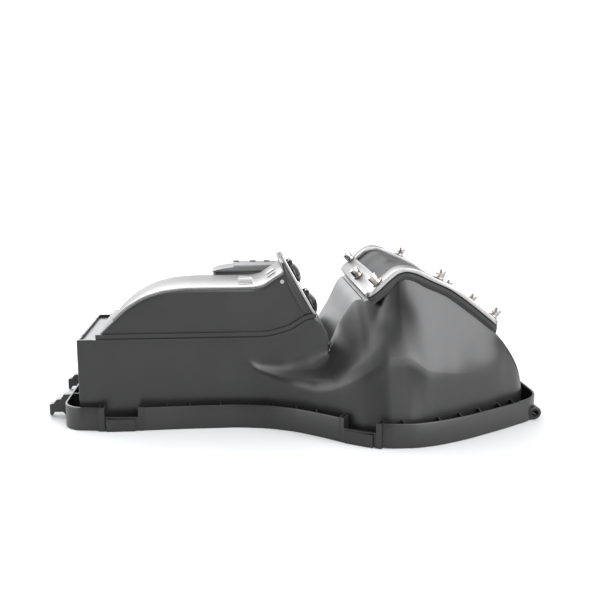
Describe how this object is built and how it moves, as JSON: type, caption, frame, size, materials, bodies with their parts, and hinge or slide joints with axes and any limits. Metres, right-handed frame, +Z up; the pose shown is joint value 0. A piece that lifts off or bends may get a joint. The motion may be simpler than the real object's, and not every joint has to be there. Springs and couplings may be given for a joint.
{
  "type": "engine air intake plenum upper shell",
  "caption": "Black moulded air intake upper shell, open below, with a clamped curved membrane, a metal-covered duct and hinged relief flaps on a sloping plate.",
  "frame": {"origin": "centre of the plan outline, on the plane that the rim stands on", "axes": "+X along the long side from the box end to the membrane end, +Y from the near clip side to the far side, +Z up out of the open underside"},
  "size_m": [0.539, 0.3109, 0.183],
  "materials": {
    "moulded_black": "satin, fine moulded grain",
    "moulded_grey": "satin",
    "gloss_black": "polished",
    "membrane_grey": "smooth satin sheet",
    "seal_rubber": "matt",
    "brushed_sheet": "brushed along the long side",
    "bright_fastener": "bright plated",
    "insert_brass": "turned",
    "black_steel": "black oxide, lightly oiled"
  },
  "bodies": {
    "housing": {"lower_shell": "moulded_black", "base_seal": "seal_rubber", "duct_seal": "seal_rubber", "duct_shell": "moulded_black", "cover_plate": "brushed_sheet", "cover_rivets": "bright_fastener", "port_block": "moulded_black", "port_gasket": "seal_rubber", "port_plate": "brushed_sheet", "port_screws": "bright_fastener", "hinge_lugs": "black_steel", "hinge_pins": "black_steel", "actuator_housing": "moulded_black", "actuator_lid": "moulded_grey", "actuator_screws": "bright_fastener", "window_gasket": "seal_rubber", "window_membrane": "membrane_grey", "clamp_frame": "brushed_sheet", "frame_washers": "bright_fastener", "spring_washers": "bright_fastener", "frame_screws": "bright_fastener", "insert_nuts": "insert_brass", "knuckle_sleeve": "black_steel"},
    "upper_valve": {"upper_flap": "gloss_black", "upper_pad": "seal_rubber"},
    "lower_valve": {"lower_flap": "gloss_black", "lower_pad": "seal_rubber"}
  },
  "joints": [
    {"name": "upper_flap_hinge", "type": "hinge", "parent": "housing", "child": "upper_valve", "pos_m": [-0.00455, -0.04815, 0.17358], "axis": [0, -1, 0], "range_deg": [0, 60]},
    {"name": "lower_flap_hinge", "type": "hinge", "parent": "housing", "child": "lower_valve", "pos_m": [0.01348, -0.04815, 0.14104], "axis": [0, -1, 0], "range_deg": [0, 60]}
  ]
}
